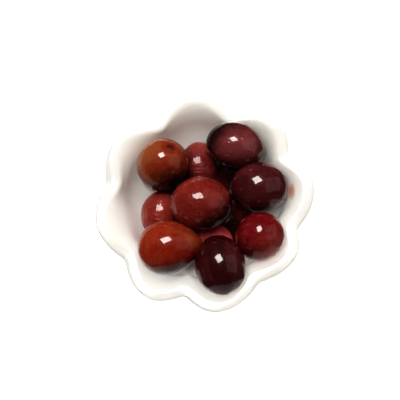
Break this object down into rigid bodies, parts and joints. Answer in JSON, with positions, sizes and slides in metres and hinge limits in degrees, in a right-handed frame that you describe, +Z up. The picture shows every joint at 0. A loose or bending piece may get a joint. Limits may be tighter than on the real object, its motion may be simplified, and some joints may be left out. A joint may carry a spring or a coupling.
{
  "type": "dish of olives",
  "caption": "Small scalloped porcelain dish heaped with two layers of wet table olives, from amber and red to dark purple.",
  "frame": {"origin": "under the middle of the dish, on the surface it stands on", "axes": "+Z up; the dish lies across X and Y, with its nearer side towards -Y; +X is to the right from there"},
  "size_m": [0.0884, 0.0906, 0.0454],
  "materials": {
    "glaze": "glossy white glaze, faintly warm, with an unglazed foot ring",
    "olives": "wet smooth olive skins in amber, brick red, maroon and near-black purple, speckled and glossy with brine"
  },
  "bodies": {
    "root": {"dish": "glaze", "olive_heap": "olives"}
  },
  "joints": []
}
